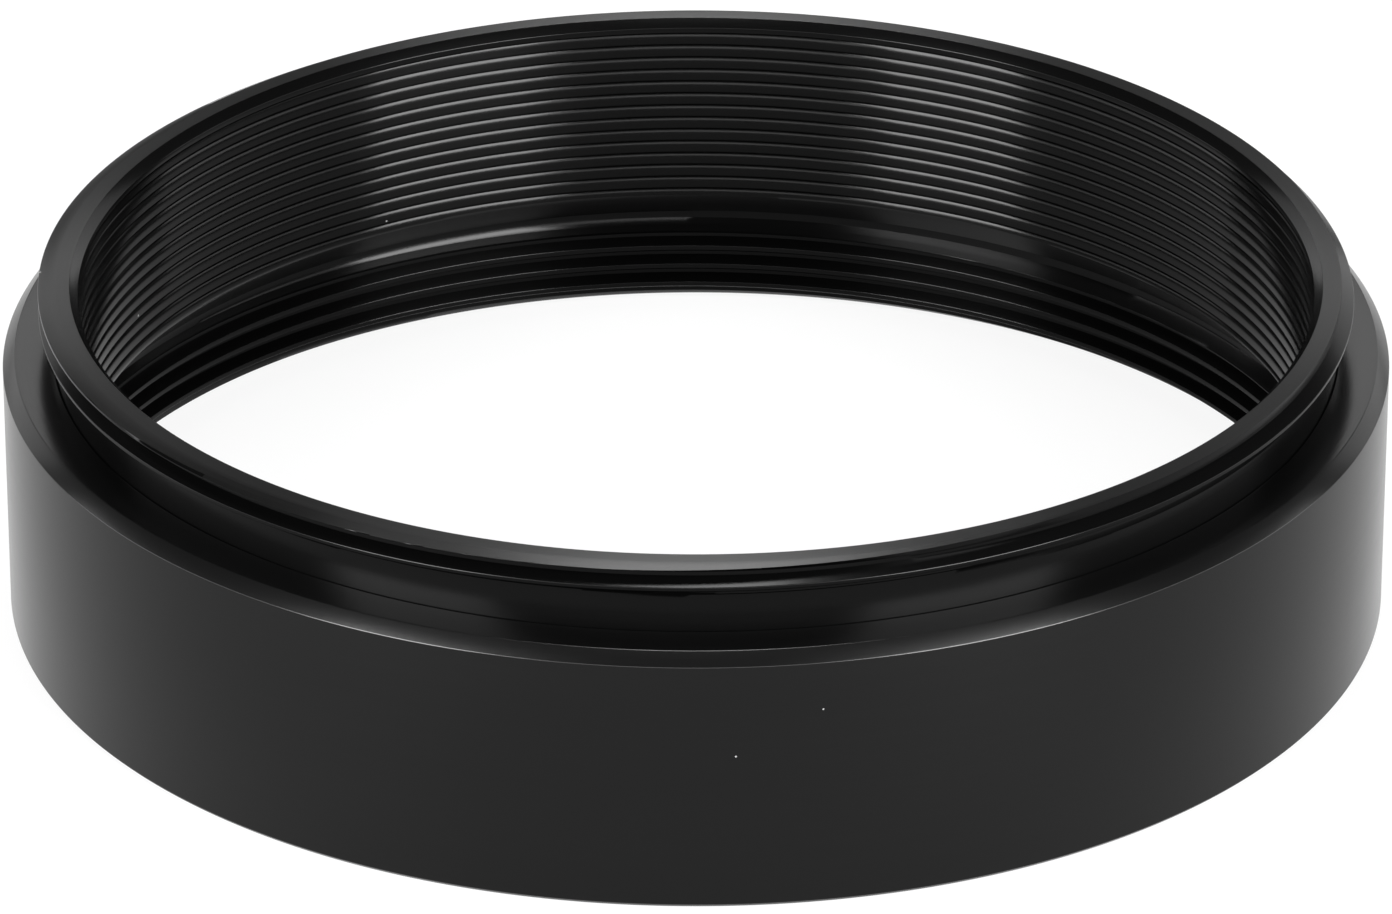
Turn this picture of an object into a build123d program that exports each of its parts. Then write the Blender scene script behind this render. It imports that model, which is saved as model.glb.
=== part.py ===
"""Screw-in metal lens hood in three turned pieces, in millimetres.

Z is the optical axis and points towards the lens. The origin is the centre of the front rim, on which the
hood stands. Every piece is a turned ring, and the two threads and the anti-glare ridges are real helices.
"""
import os
from math import radians, tan

from build123d import *

# Overall size
barrel_radius = 24.3
total_height = 12.0
shoulder_height = 9.45
shoulder_chamfer = 0.42
front_edge_break = 0.15

# Standard filter thread, M46 x 0.75, at both ends
thread_major_radius = 23.0
thread_pitch = 0.75
thread_flank = radians(30)
male_root_radius = 22.56
female_crest_radius = 22.65
female_root_radius = 23.05
root_flat = 0.13
thread_overcut = 0.04
thread_run_out = 0.3

# Mount ring
neck_radius = 22.5
thread_start_height = 10.85
thread_full_height = 11.05
bevel_radius = 22.55
bevel_drop = 0.1
rim_inner_radius = 21.9
bore_radius = 21.6
lip_height = 0.2
collar_radius = 22.9
collar_thickness = 0.5
ring_bore_radius = 22.05

# Barrel
flange_thickness = 1.0
slip_fit = 0.02
plain_bore_radius = 23.1
plain_bore_top = 4.1
plain_bore_bottom = 3.2
female_thread_top = 2.8
entry_radius = 23.4
entry_height = 0.45

# Baffle sleeve
ridge_pitch = 0.487
ridge_depth = 0.12
ridge_crest_width = 0.24
ridge_root_width = 0.05
ridge_run_out = 0.21
sleeve_bottom = 3.7
cone_top = 4.9
cone_foot_radius = 22.75
sleeve_top_gap = 0.05

# Height of one groove centre over the +X axis, which sets how far each helix is turned
male_groove_height = 11.0575
female_groove_height = 0.9075
ridge_groove_height = 4.57


def turned(outline):
    """Solid ring from a closed outline of (radius, height) points."""
    face = make_face(Plane.XZ * Polyline(*outline, close=True))
    return revolve(face, Axis.Z)


def helical_cut(outline, pitch, start, end):
    """Right-handed groove cutter: outline is (radius, height) points about the groove centre."""
    reference = outline[0][0]
    path = Pos(0, 0, start) * Helix(pitch=pitch, height=end - start, radius=reference)
    section = Plane(origin=path @ 0, x_dir=(1, 0, 0), z_dir=(0, -1, 0))
    points = [(radius - reference, height) for radius, height in outline]
    return sweep(section * Polygon(*points, align=None), path=path, is_frenet=True)


def thread_groove(root_radius, open_radius):
    """60 degree groove outline from the root flat to the open side."""
    root = root_flat / 2
    mouth = root + abs(open_radius - root_radius) * tan(thread_flank)
    return [(root_radius, -root), (root_radius, root), (open_radius, mouth), (open_radius, -mouth)]


def make_hood_barrel():
    """Outer tube with the rear flange, the sleeve seat, the plain bore and the front thread."""
    seat_radius = collar_radius + slip_fit
    flange_bottom = shoulder_height - flange_thickness
    ring = turned([
        (barrel_radius - front_edge_break, 0),
        (barrel_radius, front_edge_break),
        (barrel_radius, shoulder_height - shoulder_chamfer),
        (barrel_radius - shoulder_chamfer, shoulder_height),
        (neck_radius + slip_fit, shoulder_height),
        (neck_radius + slip_fit, flange_bottom),
        (seat_radius, flange_bottom),
        (seat_radius, plain_bore_top),
        (plain_bore_radius, plain_bore_top),
        (plain_bore_radius, plain_bore_bottom),
        (female_crest_radius, female_thread_top),
        (female_crest_radius, entry_height),
        (entry_radius, 0),
    ])
    groove = thread_groove(female_root_radius, female_crest_radius - thread_overcut)
    start = female_groove_height - thread_pitch
    return ring - helical_cut(groove, thread_pitch, start, female_thread_top - thread_run_out)


def make_mount_ring():
    """Neck with the rim, the male thread, its relief, and the collar that sits under the barrel's flange."""
    collar_top = shoulder_height - flange_thickness
    collar_bottom = collar_top - collar_thickness
    chamfer_bottom = total_height - (rim_inner_radius - bore_radius)
    ring = turned([
        (ring_bore_radius, collar_bottom),
        (collar_radius, collar_bottom),
        (collar_radius, collar_top),
        (neck_radius, collar_top),
        (neck_radius, thread_start_height),
        (thread_major_radius, thread_full_height),
        (thread_major_radius, total_height - bevel_drop),
        (bevel_radius, total_height),
        (rim_inner_radius, total_height),
        (bore_radius, chamfer_bottom),
        (bore_radius, chamfer_bottom - lip_height),
        (ring_bore_radius, chamfer_bottom - lip_height),
    ])
    groove = thread_groove(male_root_radius, thread_major_radius + thread_overcut)
    start = male_groove_height - thread_pitch
    return ring - helical_cut(groove, thread_pitch, start, total_height + thread_pitch / 2 + root_flat)


def make_baffle_sleeve():
    """Liner pressed in behind the collar: helical anti-glare ridges above a cone."""
    step_height = shoulder_height - flange_thickness - collar_thickness
    lip_bottom = total_height - (rim_inner_radius - bore_radius) - lip_height
    ring = turned([
        (cone_foot_radius, sleeve_bottom),
        (collar_radius, sleeve_bottom),
        (collar_radius, step_height),
        (ring_bore_radius - slip_fit, step_height),
        (ring_bore_radius - slip_fit, lip_bottom - sleeve_top_gap),
        (bore_radius, lip_bottom - sleeve_top_gap),
        (bore_radius, cone_top),
    ])
    root = ridge_root_width / 2
    mouth = (ridge_pitch - ridge_crest_width) / 2
    groove = [
        (bore_radius + ridge_depth, -root),
        (bore_radius + ridge_depth, root),
        (bore_radius - thread_overcut, mouth),
        (bore_radius - thread_overcut, -mouth),
    ]
    end = lip_bottom - sleeve_top_gap - ridge_run_out
    return ring - helical_cut(groove, ridge_pitch, ridge_groove_height, end)


parts = {
    "hood_barrel": make_hood_barrel(),
    "mount_ring": make_mount_ring(),
    "baffle_sleeve": make_baffle_sleeve(),
}
os.makedirs("parts", exist_ok=True)
for name, part in parts.items():
    export_step(part, f"parts/{name}.step")
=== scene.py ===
"""Looks of the screw-in lens hood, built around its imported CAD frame. Lengths are in metres."""
from math import cos, pi, radians, sin, tan

import bmesh
import bpy
import numpy as np
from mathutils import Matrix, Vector


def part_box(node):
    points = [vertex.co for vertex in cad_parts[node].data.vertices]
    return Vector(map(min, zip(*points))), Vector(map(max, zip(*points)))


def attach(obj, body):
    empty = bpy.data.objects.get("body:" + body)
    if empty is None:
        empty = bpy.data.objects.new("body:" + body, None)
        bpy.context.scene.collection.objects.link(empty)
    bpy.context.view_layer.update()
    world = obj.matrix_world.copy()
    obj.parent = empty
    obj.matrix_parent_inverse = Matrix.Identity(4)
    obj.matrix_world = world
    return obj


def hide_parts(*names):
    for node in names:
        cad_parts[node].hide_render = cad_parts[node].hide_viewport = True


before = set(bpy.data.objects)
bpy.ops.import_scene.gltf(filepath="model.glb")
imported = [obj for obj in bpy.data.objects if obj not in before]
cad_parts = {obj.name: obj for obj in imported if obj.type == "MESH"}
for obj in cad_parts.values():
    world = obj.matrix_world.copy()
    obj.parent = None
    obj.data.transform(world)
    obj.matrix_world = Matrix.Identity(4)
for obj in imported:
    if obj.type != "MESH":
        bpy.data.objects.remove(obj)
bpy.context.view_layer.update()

MM = 0.001

# Main sizes, read from the frame
barrel_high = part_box("hood_barrel")[1]
ring_low, ring_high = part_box("mount_ring")
sleeve_low, sleeve_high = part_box("baffle_sleeve")
BARREL_RADIUS = barrel_high.x
SHOULDER_HEIGHT = barrel_high.z
TOTAL_HEIGHT = ring_high.z
THREAD_RADIUS = ring_high.x
COLLAR_RADIUS = sleeve_high.x
COLLAR_BOTTOM = ring_low.z
SLEEVE_BOTTOM = sleeve_low.z
SLEEVE_TOP = sleeve_high.z

# Turned details that the frame's boxes don't give, as in the part's source
SHOULDER_CHAMFER = 0.42 * MM
FRONT_EDGE_BREAK = 0.15 * MM
FLANGE_THICKNESS = 1.0 * MM
COLLAR_THICKNESS = 0.5 * MM
SLIP_FIT = 0.02 * MM
NECK_RADIUS = 22.5 * MM
THREAD_START = 10.85 * MM
THREAD_FULL = 11.05 * MM
BEVEL_RADIUS = 22.55 * MM
BEVEL_DROP = 0.1 * MM
RIM_INNER_RADIUS = 21.9 * MM
BORE_RADIUS = 21.6 * MM
LIP_HEIGHT = 0.2 * MM
RING_BORE_RADIUS = 22.05 * MM
PLAIN_BORE_RADIUS = 23.1 * MM
PLAIN_BORE_TOP = 4.1 * MM
PLAIN_BORE_BOTTOM = 3.2 * MM
FEMALE_THREAD_TOP = 2.8 * MM
FEMALE_CREST_RADIUS = 22.65 * MM
ENTRY_RADIUS = 23.4 * MM
ENTRY_HEIGHT = 0.45 * MM
ENTRY_LIP_WIDTH = 0.1 * MM
ENTRY_LIP_HEIGHT = 0.06 * MM
CONE_TOP = 4.9 * MM
CONE_FOOT_RADIUS = 22.75 * MM
CONE_FOOT_RISE = 0.21 * MM

# Threads. MALE_GROOVE and FEMALE_GROOVE are the height of one groove centre over the +X axis
THREAD_PITCH = 0.75 * MM
THREAD_ROOT_FLAT = 0.13 * MM
MALE_DEPTH = 0.44 * MM
MALE_CREST_FLAT = 0.12 * MM
MALE_GROOVE = 11.0575 * MM
FEMALE_DEPTH = 0.4 * MM
FEMALE_CREST_FLAT = 0.16 * MM
FEMALE_GROOVE = 0.9075 * MM

# Anti-glare ridges. After RIDGE_GROOVE come heights within one pitch, from the groove's centre up
RIDGE_PITCH = 0.487 * MM
RIDGE_DEPTH = 0.12 * MM
RIDGE_GROOVE = 4.57 * MM
RIDGE_FLOOR_END = 0.03 * MM
RIDGE_LAND_START = 0.07 * MM
RIDGE_LAND_END = 0.21 * MM
RIDGE_CURVE_PULL = 0.37 * MM
RIDGE_CURVE_END = 0.44 * MM
RIDGE_CURVE_DEPTH = 0.055 * MM
RIDGE_FLOOR_START = 0.46 * MM

# Mesh: columns round the axis, rounding of edges, and the short plain stretch where one wall meets the next
COLUMNS = 360
EDGE_ROUND = 0.05 * MM
SMALL_EDGE_ROUND = 0.03 * MM
MEETING_BLEND = 0.015 * MM
WELD = 0.0005 * MM
JOIN = 0.2 * MM

# Camera: distance and target height in barrel radii, rise in degrees, lens and sensor in millimetres
CAMERA_DISTANCE = 13.7576
CAMERA_RISE = 26.425
CAMERA_TARGET = 0.193
CAMERA_LENS = 244.73
CAMERA_SENSOR = 36.0

# Finish: how many lathe marks, grains, cloudy patches and dust cells fit in a metre
MARKS_ALONG = 60
MARKS_ACROSS = 9000
GRAIN_SCALE = 9000.0
PATCH_SCALE = 90.0
DUST_SCALE = 700.0
DUST_SIZE = 0.03
DUST_SHARE = 0.1
DUST_TONE = 0.07

# Studio: distance of the lights from the hood, and half the side of the floor
PANEL_DISTANCE = 1.0
FLOOR_HALF = 2.0


def rounded(points, radius, steps=4):
    """The open outline with each inner corner replaced by a short curve of about that radius."""
    result = [points[0]]
    for i in range(1, len(points) - 1):
        corner = np.array(points[i])
        before = np.array(points[i - 1]) - corner
        after = np.array(points[i + 1]) - corner
        long_before = np.linalg.norm(before)
        long_after = np.linalg.norm(after)
        inside = np.dot(before, after) / (long_before * long_after)
        half = np.arccos(np.clip(inside, -1, 1)) / 2
        cut = min(radius / tan(max(half, 0.05)), 0.45 * long_before, 0.45 * long_after)
        start = corner + before / long_before * cut
        end = corner + after / long_after * cut
        for k in range(steps + 1):
            t = k / steps
            curve = start * (1 - t) ** 2 + corner * 2 * t * (1 - t) + end * t ** 2
            result.append(tuple(curve))
    result.append(points[-1])
    return result


def groove_period(crest_radius, root_radius, crest_width):
    """One pitch of a thread with rounded crest corners: heights above the groove centre, and radii."""
    root = THREAD_ROOT_FLAT / 2
    land = crest_width / 2
    outline = [
        (root, root_radius),
        (THREAD_PITCH / 2 - land, crest_radius),
        (THREAD_PITCH / 2 + land, crest_radius),
        (THREAD_PITCH - root, root_radius),
    ]
    curve = rounded(outline, EDGE_ROUND, steps=5)
    heights = [0] + [height for height, _ in curve]
    radii = [root_radius] + [value for _, value in curve]
    return np.array(heights), np.array(radii)


def ridge_period():
    """One pitch of the anti-glare ridges: narrow groove, straight land, and a long rounded upper edge."""
    start = np.array((RIDGE_LAND_END, 0))
    pull = np.array((RIDGE_CURVE_PULL, 0))
    end = np.array((RIDGE_CURVE_END, RIDGE_CURVE_DEPTH))
    outline = [(0, RIDGE_DEPTH), (RIDGE_FLOOR_END, RIDGE_DEPTH), (RIDGE_LAND_START, 0), (RIDGE_LAND_END, 0)]
    steps = 8
    for k in range(1, steps + 1):
        t = k / steps
        outline.append(tuple(start * (1 - t) ** 2 + pull * 2 * t * (1 - t) + end * t ** 2))
    outline.append((RIDGE_FLOOR_START, RIDGE_DEPTH))
    heights = np.array([height for height, _ in outline])
    radii = np.array([BORE_RADIUS + depth for _, depth in outline])
    return heights, radii


def helical_rows(period, pitch, groove_height, low, high, envelope, inside):
    """Rows of a threaded wall: each row follows the helix and stops at the low and high ends of the wall."""
    heights, radii = period
    turn = np.linspace(0, 2 * pi, COLUMNS + 1)
    lift = groove_height + pitch * turn / (2 * pi)
    first = int(np.floor((low - groove_height) / pitch)) - 2
    last = int(np.ceil((high - groove_height) / pitch)) + 1
    base = np.concatenate([heights + n * pitch for n in range(first, last + 1)])
    z = np.clip(base[:, None] + lift[None, :], low, high)
    radius = np.interp((z - lift[None, :]) % pitch, np.append(heights, pitch), np.append(radii, radii[0]))
    limit = np.interp(z, [height for _, height in envelope], [value for value, _ in envelope])
    near = np.maximum(MEETING_BLEND - np.abs(radius - limit), 0) ** 2 / (4 * MEETING_BLEND)
    if inside:
        return np.maximum(radius, limit) + near, z
    return np.minimum(radius, limit) - near, z


def plain_rows(points):
    """Rows of a plain turned wall from (radius, height) points."""
    around = np.ones(COLUMNS + 1)
    radius = np.array([value for value, _ in points])[:, None] * around
    height = np.array([value for _, value in points])[:, None] * around
    return radius, height


def turned_piece(name, rows, material, sharp=35):
    """Closed ring mesh whose section is the given rows, one after the other."""
    radius = np.concatenate([part[0] for part in rows])
    height = np.concatenate([part[1] for part in rows])
    turn = np.linspace(0, 2 * pi, COLUMNS + 1)
    x = radius * np.cos(turn)
    y = radius * np.sin(turn)
    count = radius.shape[0]
    points = np.stack([x, y, height], -1).reshape(-1, 3)
    columns = COLUMNS + 1
    faces = []
    for i in range(count):
        here = i * columns
        there = (i + 1) % count * columns
        for j in range(COLUMNS):
            faces.append((here + j, here + j + 1, there + j + 1, there + j))
    mesh = bpy.data.meshes.new(name)
    mesh.from_pydata(points.tolist(), [], faces)
    shape = bmesh.new()
    shape.from_mesh(mesh)
    bmesh.ops.remove_doubles(shape, verts=shape.verts, dist=WELD)
    bmesh.ops.dissolve_degenerate(shape, edges=shape.edges, dist=WELD)
    bmesh.ops.recalc_face_normals(shape, faces=shape.faces)
    shape.to_mesh(mesh)
    shape.free()
    mesh.polygons.foreach_set("use_smooth", [True] * len(mesh.polygons))
    mesh.set_sharp_from_angle(angle=radians(sharp))
    piece = bpy.data.objects.new(name, mesh)
    bpy.context.scene.collection.objects.link(piece)
    mesh.materials.append(material)
    return piece


def paint(piece, material, chosen):
    """Second material for the faces that pass a test."""
    piece.data.materials.append(material)
    for face in piece.data.polygons:
        if chosen(face):
            face.material_index = 1


def make_barrel(material, painted_shade_material):
    """Outer barrel: plain wall, chamfer, shoulder, plain bore and the female thread."""
    flange_bottom = SHOULDER_HEIGHT - FLANGE_THICKNESS
    seat = COLLAR_RADIUS + SLIP_FIT
    outside = rounded([
        (ENTRY_RADIUS - ENTRY_LIP_WIDTH, ENTRY_LIP_HEIGHT),
        (ENTRY_RADIUS, 0),
        (BARREL_RADIUS - FRONT_EDGE_BREAK, 0),
        (BARREL_RADIUS, FRONT_EDGE_BREAK),
        (BARREL_RADIUS, SHOULDER_HEIGHT - SHOULDER_CHAMFER),
        (BARREL_RADIUS - SHOULDER_CHAMFER, SHOULDER_HEIGHT),
        (NECK_RADIUS + SLIP_FIT, SHOULDER_HEIGHT),
        (NECK_RADIUS + SLIP_FIT, flange_bottom),
        (seat, flange_bottom),
        (seat, PLAIN_BORE_TOP),
        (PLAIN_BORE_RADIUS, PLAIN_BORE_TOP),
        (PLAIN_BORE_RADIUS, PLAIN_BORE_BOTTOM + JOIN),
    ], EDGE_ROUND)
    period = groove_period(FEMALE_CREST_RADIUS, FEMALE_CREST_RADIUS + FEMALE_DEPTH, FEMALE_CREST_FLAT)
    envelope = [
        (ENTRY_RADIUS, 0),
        (FEMALE_CREST_RADIUS, ENTRY_HEIGHT),
        (FEMALE_CREST_RADIUS, FEMALE_THREAD_TOP),
        (PLAIN_BORE_RADIUS, PLAIN_BORE_BOTTOM),
        (PLAIN_BORE_RADIUS, PLAIN_BORE_TOP),
    ]
    radius, height = helical_rows(period, THREAD_PITCH, FEMALE_GROOVE, 2 * ENTRY_LIP_HEIGHT,
                                  PLAIN_BORE_BOTTOM + JOIN / 2, envelope, inside=True)
    piece = turned_piece("barrel_shell", [plain_rows(outside), (radius[::-1], height[::-1])], material)
    # Painted shade: inner faces below the flange take the darker, less reflective copy of the anodise,
    # standing in for the shade inside the hood.
    paint(piece, painted_shade_material,
          lambda face: face.center.xy.length < ENTRY_RADIUS and face.center.z <= flange_bottom)
    return piece


def make_ring(material, rim_material):
    """Mount ring: rim, bevel, male thread, relief and the hidden collar."""
    collar_top = COLLAR_BOTTOM + COLLAR_THICKNESS
    chamfer_bottom = TOTAL_HEIGHT - (RIM_INNER_RADIUS - BORE_RADIUS)
    below = rounded([
        (RING_BORE_RADIUS, COLLAR_BOTTOM + JOIN),
        (RING_BORE_RADIUS, COLLAR_BOTTOM),
        (COLLAR_RADIUS, COLLAR_BOTTOM),
        (COLLAR_RADIUS, collar_top),
        (NECK_RADIUS, collar_top),
        (NECK_RADIUS, THREAD_START - 1.25 * JOIN),
    ], EDGE_ROUND)
    above = rounded([
        (BEVEL_RADIUS - 0.75 * JOIN, TOTAL_HEIGHT),
        (RIM_INNER_RADIUS, TOTAL_HEIGHT),
        (BORE_RADIUS, chamfer_bottom),
        (BORE_RADIUS, chamfer_bottom - LIP_HEIGHT),
        (RING_BORE_RADIUS, chamfer_bottom - LIP_HEIGHT),
        (RING_BORE_RADIUS, chamfer_bottom - LIP_HEIGHT - JOIN),
    ], SMALL_EDGE_ROUND)
    period = groove_period(THREAD_RADIUS, THREAD_RADIUS - MALE_DEPTH, MALE_CREST_FLAT)
    envelope = [
        (NECK_RADIUS, THREAD_START),
        (THREAD_RADIUS, THREAD_FULL),
        (THREAD_RADIUS, TOTAL_HEIGHT - BEVEL_DROP),
        (BEVEL_RADIUS, TOTAL_HEIGHT),
    ]
    threaded = helical_rows(period, THREAD_PITCH, MALE_GROOVE, THREAD_START - JOIN,
                            TOTAL_HEIGHT, envelope, inside=False)
    piece = turned_piece("threaded_neck", [plain_rows(below), threaded, plain_rows(above)], material)
    paint(piece, rim_material,
          lambda face: face.center.z > TOTAL_HEIGHT - BEVEL_DROP and face.normal.z > 0.5)
    return piece


def make_sleeve(material):
    """Baffle sleeve: helical anti-glare ridges above a cone."""
    foot = rounded([
        (CONE_FOOT_RADIUS - JOIN, SLEEVE_BOTTOM + CONE_FOOT_RISE),
        (CONE_FOOT_RADIUS, SLEEVE_BOTTOM),
        (COLLAR_RADIUS, SLEEVE_BOTTOM),
        (COLLAR_RADIUS, COLLAR_BOTTOM),
        (RING_BORE_RADIUS - SLIP_FIT, COLLAR_BOTTOM),
        (RING_BORE_RADIUS - SLIP_FIT, SLEEVE_TOP),
        (BORE_RADIUS + RIDGE_DEPTH + EDGE_ROUND, SLEEVE_TOP),
    ], SMALL_EDGE_ROUND)
    envelope = [
        (CONE_FOOT_RADIUS, SLEEVE_BOTTOM),
        (BORE_RADIUS, CONE_TOP),
        (BORE_RADIUS, SLEEVE_TOP),
    ]
    radius, height = helical_rows(ridge_period(), RIDGE_PITCH, RIDGE_GROOVE, SLEEVE_BOTTOM + 1.5 * JOIN,
                                  SLEEVE_TOP, envelope, inside=True)
    return turned_piece("ridged_liner", [plain_rows(foot), (radius[::-1], height[::-1])], material)


class Nodes:
    """Short way to add and join shader nodes in one material."""

    def __init__(self, name):
        self.material = bpy.data.materials.new(name)
        self.material.use_nodes = True
        self.tree = self.material.node_tree
        self.shader = self.tree.nodes["Principled BSDF"]

    def add(self, kind, **settings):
        node = self.tree.nodes.new(kind)
        for key, value in settings.items():
            setattr(node, key, value)
        return node

    def link(self, source, target):
        self.tree.links.new(source, target)

    def math(self, operation, first, second=None):
        node = self.add("ShaderNodeMath", operation=operation)
        for socket, value in zip(node.inputs, (first, second)):
            if value is None:
                continue
            if isinstance(value, (int, float)):
                socket.default_value = value
            else:
                self.link(value, socket)
        return node.outputs[0]

    def ramp(self, source, stops):
        node = self.add("ShaderNodeValToRGB")
        ramp = node.color_ramp
        while len(ramp.elements) < len(stops):
            ramp.elements.new(0.5)
        for element, (place, value) in zip(ramp.elements, stops):
            element.position = place
            element.color = (value, value, value, 1)
        self.link(source, node.inputs[0])
        return node.outputs[0]

    def noise(self, vector, scale, detail=2.0, roughness=0.5):
        node = self.add("ShaderNodeTexNoise")
        node.inputs["Scale"].default_value = scale
        node.inputs["Detail"].default_value = detail
        node.inputs["Roughness"].default_value = roughness
        self.link(vector, node.inputs["Vector"])
        return node.outputs["Fac"]

    def place(self):
        return self.add("ShaderNodeTexCoord").outputs["Object"]

    def stretched(self, vector, along, across):
        """Coordinates for marks that run round the axis: slow along the turn, quick across it."""
        split = self.add("ShaderNodeSeparateXYZ")
        self.link(vector, split.inputs[0])
        radius = self.math("SQRT", self.math("ADD", self.math("POWER", split.outputs[0], 2.0),
                                             self.math("POWER", split.outputs[1], 2.0)))
        join = self.add("ShaderNodeCombineXYZ")
        self.link(self.math("MULTIPLY", split.outputs[0], along), join.inputs[0])
        self.link(self.math("MULTIPLY", split.outputs[1], along), join.inputs[1])
        across_sum = self.math("ADD", self.math("MULTIPLY", split.outputs[2], across),
                               self.math("MULTIPLY", radius, across * 1.3))
        self.link(across_sum, join.inputs[2])
        return join.outputs[0]


def anodised(name, tone, specular, roughness, spread, stretch, mark_depth, grain_depth):
    """Black anodised aluminium: lathe marks round the axis, fine grain, and a few specks of dust."""
    nodes = Nodes(name)
    place = nodes.place()
    marks = nodes.noise(nodes.stretched(place, MARKS_ALONG, MARKS_ACROSS), 1.0, detail=3.0)
    grain = nodes.noise(place, GRAIN_SCALE, detail=2.0)
    patches = nodes.noise(place, PATCH_SCALE, detail=4.0)
    rough = nodes.math("ADD", nodes.math("MULTIPLY", marks, spread), nodes.math("MULTIPLY", patches, spread))
    rough = nodes.math("ADD", rough, roughness - spread)
    nodes.link(rough, nodes.shader.inputs["Roughness"])
    dust_field = nodes.add("ShaderNodeTexVoronoi")
    dust_field.inputs["Scale"].default_value = DUST_SCALE
    nodes.link(place, dust_field.inputs["Vector"])
    chance = nodes.add("ShaderNodeSeparateColor")
    nodes.link(dust_field.outputs["Color"], chance.inputs[0])
    speck = nodes.math("MULTIPLY", nodes.math("LESS_THAN", dust_field.outputs["Distance"], DUST_SIZE),
                       nodes.math("GREATER_THAN", chance.outputs[0], 1 - DUST_SHARE))
    mix = nodes.add("ShaderNodeMix", data_type="RGBA")
    nodes.link(speck, mix.inputs["Factor"])
    mix.inputs["A"].default_value = (tone, tone, tone, 1)
    mix.inputs["B"].default_value = (DUST_TONE, DUST_TONE, DUST_TONE, 1)
    nodes.link(mix.outputs["Result"], nodes.shader.inputs["Base Color"])
    height = nodes.math("ADD", nodes.math("MULTIPLY", marks, mark_depth),
                        nodes.math("MULTIPLY", grain, grain_depth))
    bump = nodes.add("ShaderNodeBump")
    bump.inputs["Strength"].default_value = 1.0
    bump.inputs["Distance"].default_value = 1.0
    nodes.link(height, bump.inputs["Height"])
    nodes.link(bump.outputs["Normal"], nodes.shader.inputs["Normal"])
    nodes.shader.inputs["Specular IOR Level"].default_value = specular
    nodes.shader.inputs["Anisotropic"].default_value = stretch
    nodes.shader.inputs["Anisotropic Rotation"].default_value = 0.25
    around = nodes.add("ShaderNodeTangent", direction_type="RADIAL", axis="Z")
    nodes.link(around.outputs[0], nodes.shader.inputs["Tangent"])
    return nodes.material


def floor_material():
    """Pale studio floor, evenly lit from inside so that it stays white and takes no shadow."""
    nodes = Nodes("studio_white")
    tone = nodes.ramp(nodes.noise(nodes.place(), 4.0), [(0.3, 0.035), (0.7, 0.045)])
    nodes.link(tone, nodes.shader.inputs["Base Color"])
    nodes.shader.inputs["Roughness"].default_value = 1.0
    nodes.shader.inputs["Specular IOR Level"].default_value = 0.0
    nodes.shader.inputs["Emission Color"].default_value = (1, 1, 1, 1)
    nodes.shader.inputs["Emission Strength"].default_value = 0.85
    return nodes.material


def make_floor():
    """Large flat floor on which the front rim stands."""
    mesh = bpy.data.meshes.new("studio_floor")
    half = FLOOR_HALF
    corners = [(-half, -half, 0), (half, -half, 0), (half, half, 0), (-half, half, 0)]
    mesh.from_pydata(corners, [], [(0, 1, 2, 3)])
    floor = bpy.data.objects.new("studio_floor", mesh)
    bpy.context.scene.collection.objects.link(floor)
    mesh.materials.append(floor_material())


def add_camera():
    """Long lens, well back and a little above the hood."""
    distance = CAMERA_DISTANCE * BARREL_RADIUS
    rise = radians(CAMERA_RISE)
    target = Vector((0, 0, CAMERA_TARGET * BARREL_RADIUS))
    data = bpy.data.cameras.new("camera")
    data.lens = CAMERA_LENS
    data.sensor_width = CAMERA_SENSOR
    camera = bpy.data.objects.new("camera", data)
    camera.location = target + Vector((0, -distance * cos(rise), distance * sin(rise)))
    camera.rotation_euler = (target - camera.location).to_track_quat("-Z", "Y").to_euler()
    bpy.context.scene.collection.objects.link(camera)
    bpy.context.scene.camera = camera


def add_panel(name, azimuth, elevation, width, height, radiance):
    """Soft rectangular light aimed at the hood: azimuth in degrees from the camera's side, anticlockwise."""
    turn = radians(azimuth - 90)
    rise = radians(elevation)
    data = bpy.data.lights.new(name, "AREA")
    data.shape = "RECTANGLE"
    data.size = width
    data.size_y = height
    data.energy = radiance * pi * width * height
    light = bpy.data.objects.new(name, data)
    direction = Vector((cos(rise) * cos(turn), cos(rise) * sin(turn), sin(rise)))
    light.location = PANEL_DISTANCE * direction
    aim = Vector((0, 0, TOTAL_HEIGHT / 2)) - light.location
    light.rotation_euler = aim.to_track_quat("-Z", "Y").to_euler()
    bpy.context.scene.collection.objects.link(light)


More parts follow.
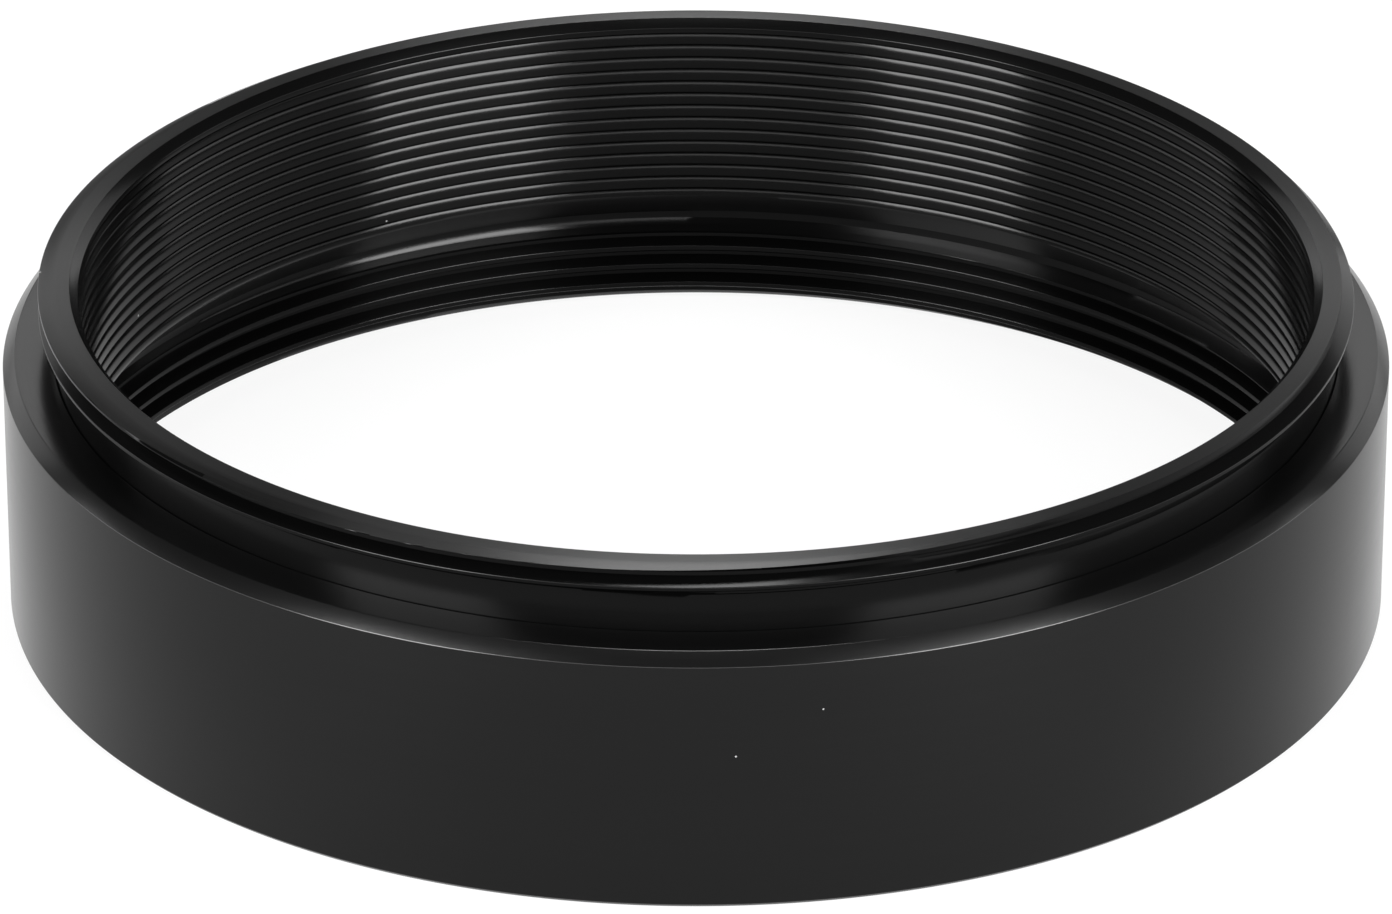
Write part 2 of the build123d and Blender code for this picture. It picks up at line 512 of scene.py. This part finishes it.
def add_light():
    """Two softboxes in front, low glows all round, panels behind and overhead, and a weak even surround."""
    add_panel("softbox_left", -49.5, 22, 0.48, 0.82, 50.0)
    add_panel("softbox_right", 47, 22, 0.57, 0.82, 50.0)
    add_panel("front_glow", 0, 12.5, 1.2, 0.44, 12.0)
    add_panel("side_glow_left", -89, 12.5, 0.98, 0.44, 7.0)
    add_panel("side_glow_right", 89, 12.5, 0.98, 0.44, 7.0)
    add_panel("back_panel", 180, 26.5, 0.72, 0.15, 2.2)
    add_panel("back_left", -143, 12, 0.54, 0.32, 1.5)
    add_panel("back_right", 143, 12, 0.54, 0.32, 1.5)
    add_panel("top_strip", 180, 75, 0.26, 0.93, 30.0)
    world = bpy.data.worlds.new("surround")
    world.use_nodes = True
    world.node_tree.nodes["Background"].inputs["Color"].default_value = (1, 1, 1, 1)
    world.node_tree.nodes["Background"].inputs["Strength"].default_value = 0.12
    bpy.context.scene.world = world


def finish_pieces():
    """Each turned piece with its material, riding on the frame in place of its CAD node."""
    satin = anodised("satin_black_anodise", tone=0.0003, specular=0.17, roughness=0.22, spread=0.03,
                     stretch=0.3, mark_depth=0.0000012, grain_depth=0.0000012)
    neck = anodised("neck_black_anodise", tone=0.0003, specular=0.08, roughness=0.18, spread=0.03,
                    stretch=0.4, mark_depth=0.0000008, grain_depth=0.0000006)
    rim = anodised("rim_black_anodise", tone=0.0003, specular=0.12, roughness=0.31, spread=0.04,
                   stretch=1.0, mark_depth=0.0000008, grain_depth=0.0000006)
    # Painted shade: the baffle and the inside of the barrel get a darker, less reflective copy of the same
    # anodise, which stands in for the shade inside the hood.
    painted_shade_black = {"tone": 0.0002, "specular": 0.075, "roughness": 0.21, "spread": 0.02, "stretch": 0.88,
                  "mark_depth": 0.0000005, "grain_depth": 0.0000003}
    baffle = anodised("matt_black_baffle", **painted_shade_black)
    inside = anodised("inside_anodise_painted_shade", **painted_shade_black)
    pieces = [
        (make_barrel(satin, inside), "hood_barrel", "satin_black_anodise"),
        (make_ring(neck, rim), "mount_ring", "neck_black_anodise"),
        (make_sleeve(baffle), "baffle_sleeve", "matt_black_baffle"),
    ]
    for piece, node, slot in pieces:
        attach(piece, "root")
        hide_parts(node)


add_camera()
finish_pieces()
make_floor()
add_light()
bpy.context.scene.view_settings.view_transform = "Standard"
